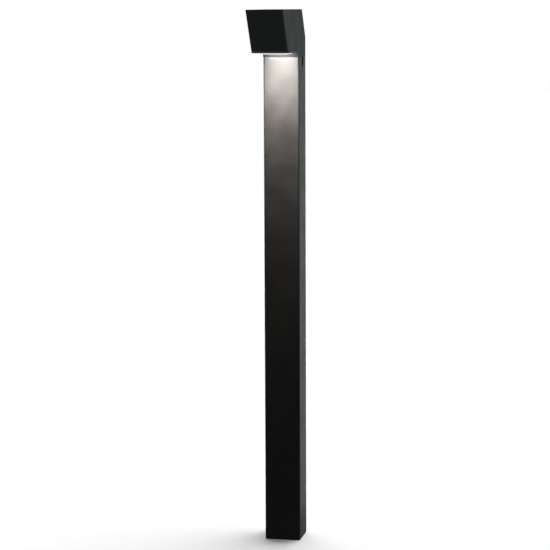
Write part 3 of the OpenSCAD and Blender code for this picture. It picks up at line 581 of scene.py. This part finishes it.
def make_lens():
    """Moulded optic: a flange in its pocket, and a raised panel with round edges and pillow optics."""
    low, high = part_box("lens")
    middle = (low + high) / 2
    flange_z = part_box("lens_frame")[1].z
    panel_w, panel_l, corner = 44 * MM, 56 * MM, 4 * MM
    flange_w, flange_l, flange_r = high.x - low.x, high.y - low.y, 6 * MM
    pillows_x, pillows_y, per = 8, 10, 6
    cols, rows = pillows_x * per, pillows_y * per
    edge_r, pillow_depth = 1.1 * MM, 0.4 * MM
    chamfer, step = 0.25 * MM, 0.01 * MM
    row = cols + 1
    vertices, faces = [], []

    def panel_point(i, j):
        u, v = 2 * i / cols - 1, 2 * j / rows - 1
        x, y = rounded_outline(u, v, panel_w, panel_l, corner)
        inset = min(panel_w / 2 * (1 - abs(u)), panel_l / 2 * (1 - abs(v)))
        lift = 0.0
        if inset < edge_r:
            lift = edge_r - math.sqrt(edge_r**2 - (edge_r - inset) ** 2)
        fade = min(1.0, max(0.0, (inset - 1.5 * edge_r) / edge_r))
        dome = abs(math.sin(math.pi * i / per) * math.sin(math.pi * j / per))
        lift += pillow_depth * fade * (1 - dome**0.7)
        return Vector((middle.x + x, middle.y + y, low.z + lift))

    def border():
        south = list(range(cols))
        east = [j * row + cols for j in range(rows)]
        north = [rows * row + i for i in range(cols, 0, -1)]
        west = [j * row for j in range(rows, 0, -1)]
        return south + east + north + west

    def add_loop(like, w, l, r, z):
        start = len(vertices)
        for index in like:
            i, j = index % row, index // row
            x, y = rounded_outline(2 * i / cols - 1, 2 * j / rows - 1, w, l, r)
            vertices.append(Vector((middle.x + x, middle.y + y, z)))
        return list(range(start, start + len(like)))

    def bridge(a, b):
        n = len(a)
        for k in range(n):
            faces.append((a[k], b[k], b[(k + 1) % n], a[(k + 1) % n]))

    for j in range(rows + 1):
        for i in range(cols + 1):
            vertices.append(panel_point(i, j))
    for j in range(rows):
        for i in range(cols):
            a = j * row + i
            faces.append((a, a + row, a + row + 1, a + 1))
    top_w, top_l = flange_w - 2 * chamfer, flange_l - 2 * chamfer
    edge = border()
    loops = [
        edge,
        add_loop(edge, panel_w, panel_l, corner, flange_z - step),
        add_loop(edge, top_w, top_l, flange_r, flange_z),
        add_loop(edge, flange_w, flange_l, flange_r, flange_z + chamfer),
        add_loop(edge, flange_w, flange_l, flange_r, high.z - chamfer),
        add_loop(edge, top_w, top_l, flange_r, high.z),
    ]
    for a, b in zip(loops, loops[1:]):
        bridge(a, b)
    faces.append(tuple(loops[-1]))
    lens = mesh_object("lens_panel", vertices, faces)
    bm = bmesh.new()
    bm.from_mesh(lens.data)
    bmesh.ops.recalc_face_normals(bm, faces=bm.faces)
    bm.to_mesh(lens.data)
    bm.free()
    stand_for(lens, "lens")


def make_cables():
    """Round cables on the CAD routes, which run between the faces of the parts they join."""
    z0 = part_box("feed_cable")[0].z / MM
    z1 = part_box("feed_cable")[1].z / MM
    back = 22
    feed = [
        (0, 0, z0), (0, 0, z0 + 16), (0, 1, z0 + 28), (0, 4, z0 + 42),
        (0, 10, z0 + 58), (0, 17, z0 + 74), (0, 21, z0 + 88), (0, back, z0 + 102),
        (0, back, (z0 + z1) / 2),
        (0, back, z1 - 102), (0, 21, z1 - 88), (0, 17, z1 - 74), (0, 10, z1 - 58),
        (0, 4, z1 - 42), (0, 1, z1 - 28), (0, 0, z1 - 16), (0, 0, z1),
    ]
    board_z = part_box("led_board")[0].z / MM
    lead_z = board_z - 2.5
    driver_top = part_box("led_lead")[0].z / MM
    led = [
        (0, -45, lead_z), (0, -39, lead_z), (0, -32, lead_z + 1), (0, -22, lead_z + 5),
        (0, -12, lead_z + 9), (0, -4, lead_z + 10.5), (0, 3, lead_z + 9), (0, 7.5, lead_z + 5.5),
        (0, 9.6, lead_z + 1.5), (0, 10, lead_z - 2), (0, 10, lead_z - 6), (0, 10, driver_top),
    ]
    inlet, driver_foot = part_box("driver_lead")[0].z / MM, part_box("driver_lead")[1].z / MM
    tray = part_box("gear_tray")[0].z / MM
    driver = [
        (0, 0, inlet), (0, 0, tray + 8), (0, 2, tray + 13), (0, 5, tray + 18),
        (0, 8, tray + 23), (0, 10, tray + 27), (0, 10, driver_foot),
    ]
    box_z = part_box("junction_box")[0].z / MM
    block_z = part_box("terminal_block")[0].z / MM
    earth_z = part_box("earth_screw")[0].z / MM + 4
    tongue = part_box("earth_lug")[0].x / MM - 1.25
    earth = [
        (9, -6, block_z + 4), (9, -6, block_z - 6), (9.5, -7, block_z - 16), (10, -8, box_z + 8),
        (10, -8, box_z - 5), (11, -8, box_z - 12), (13, -7, box_z - 24), (14, -5, box_z - 36),
        (15.2, -3, box_z - 48), (16.4, -1, earth_z + 18), (tongue, 0, earth_z + 12),
        (tongue, 0, earth_z + 5.5),
    ]
    block_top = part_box("terminal_block")[1].z / MM
    box_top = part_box("junction_box")[1].z / MM
    cores = [
        [
            (x, -6, block_top - 5), (x, -6, block_top + 3), (x * 0.7, -4.2, block_top + 10),
            (x * 0.3, -1.5, box_top - 9), (x * 0.2, 0, box_top - 5), (x * 0.2, 0, box_top),
        ]
        for x in (-9, 0, 9)
    ]
    made = (
        ("feed_cable", "post_feed", [feed], 3.5),
        ("led_lead", "light_engine_lead", [led], 2.5),
        ("driver_lead", "driver_input_lead", [driver], 2.5),
        ("earth_lead", "earth_core", [earth], 1.25),
        ("outlet_cores", "socket_cores", cores, 0.7),
    )
    for node, name, routes, radius in made:
        metres = [[Vector(p) * MM for p in route] for route in routes]
        stand_for(tubes(name, metres, radius * MM), node)


make_lens()
make_cables()


# ---- lamp, studio and floor ----


def make_lamp(name, energy, colour, spread, size, place, heading, lit):
    """Light that leaves the lens: a plate in metres that faces its heading, for the lit objects only."""
    data = bpy.data.lights.new(name, "AREA")
    data.shape = "RECTANGLE"
    data.size, data.size_y = size
    data.energy = energy
    data.spread = math.radians(spread)
    data.color = colour
    lamp = bpy.data.objects.new(name, data)
    lamp.location = place
    lamp.rotation_euler = Vector(heading).to_track_quat("-Z", "Y").to_euler()
    lamp.visible_camera = False
    lamp.light_linking.receiver_collection = lit
    scene.collection.objects.link(lamp)
    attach(lamp, "head")


def make_lamps():
    """The lens shines down in a wide glow and a narrower beam, and its back edge lights the chin.

    Only LIT_BY_LAMP takes this light. The bare neck and the driver, which show when the head is lifted,
    come out white under it. The floor doesn't take it either.
    """
    lit = bpy.data.collections.new("lit_by_lamp")
    for name in LIT_BY_LAMP:
        lit.objects.link(nodes[name])
    low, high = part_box("lens")
    middle = (low + high) / 2
    panel, edge = (54 * MM, 56 * MM), (42 * MM, 1.0 * MM)
    below = Vector((middle.x, middle.y, low.z - 0.3 * MM))
    behind = Vector((middle.x, middle.y + 28.4 * MM, low.z - 0.1 * MM))
    down, back = (0, 0, -1), (0, 1, 0)
    make_lamp("lamp_glow", GLOW_POWER, GLOW_COLOUR, GLOW_SPREAD, panel, below, down, lit)
    make_lamp("lamp_beam", BEAM_POWER, LAMP_COLOUR, BEAM_SPREAD, panel, below, down, lit)
    make_lamp("lamp_rim", RIM_POWER, LAMP_COLOUR, RIM_SPREAD, edge, behind, back, lit)


def make_sun():
    """Large soft light, high behind the object."""
    data = bpy.data.lights.new("overhead", "SUN")
    data.energy = SUN_STRENGTH
    data.angle = math.radians(SUN_ANGLE)
    sun = bpy.data.objects.new("overhead", data)
    sun.rotation_euler = Vector(SUN_HEADING).to_track_quat("-Z", "Y").to_euler()
    scene.collection.objects.link(sun)


def make_world():
    """Soft surround: bright behind the object, dark in front of it, and paler towards the ground."""
    world = bpy.data.worlds.new("studio")
    scene.world = world
    world.use_nodes = True
    tree = world.node_tree
    coords = tree.nodes.new("ShaderNodeTexCoord")
    split = tree.nodes.new("ShaderNodeSeparateXYZ")
    tree.links.new(coords.outputs["Generated"], split.inputs[0])

    def ramp(axis, low, high, to_low, to_high):
        """From to_low to to_high as the direction's axis goes from low to high."""
        node = tree.nodes.new("ShaderNodeMapRange")
        node.interpolation_type = "SMOOTHSTEP"
        node.inputs["From Min"].default_value = low
        node.inputs["From Max"].default_value = high
        node.inputs["To Min"].default_value = to_low
        node.inputs["To Max"].default_value = to_high
        tree.links.new(split.outputs[axis], node.inputs["Value"])
        return node.outputs["Result"]

    level = ramp("Y", 0.0, 0.85, 0.036, 0.66)
    ground = ramp("Y", -0.2, 0.45, 0.42, 2.2)
    blend = tree.nodes.new("ShaderNodeMix")
    tree.links.new(ramp("Z", -0.92, -0.45, 1.0, 0.0), blend.inputs[0])
    tree.links.new(level, blend.inputs[2])
    tree.links.new(ground, blend.inputs[3])
    tree.links.new(blend.outputs[0], tree.nodes["Background"].inputs["Strength"])
    tree.nodes["Background"].inputs["Color"].default_value = WORLD_COLOUR


def make_stage():
    """Plain pale floor, and a white backdrop round it.

    The object neither reflects them nor is lit by them: they are seen by the camera only.
    """
    sides, radius = 96, 18.0
    floor_points = [
        (radius * math.cos(2 * math.pi * k / sides), radius * math.sin(2 * math.pi * k / sides), 0.0)
        for k in range(sides)
    ]
    floor = mesh_object("floor", floor_points, [tuple(range(sides))])
    floor.data.materials.append(pale_floor("pale_floor", (0.88, 0.88, 0.875)))
    bm = bmesh.new()
    bmesh.ops.create_uvsphere(bm, u_segments=64, v_segments=32, radius=radius + 0.5)
    mesh = bpy.data.meshes.new("backdrop")
    bm.to_mesh(mesh)
    bm.free()
    backdrop = bpy.data.objects.new("backdrop", mesh)
    scene.collection.objects.link(backdrop)
    s = Shader("backdrop_white")
    s.set(Base_Color=(0, 0, 0, 1), Specular_IOR_Level=0.0)
    s.set(Emission_Color=(1, 1, 1, 1), Emission_Strength=1.0)
    backdrop.data.materials.append(s.material)
    for obj in (floor, backdrop):
        obj.visible_diffuse = False
        obj.visible_glossy = False
        obj.visible_transmission = False
        obj.visible_shadow = False


make_camera()
make_lamps()
make_sun()
make_world()
make_stage()
scene.view_settings.view_transform = "Standard"
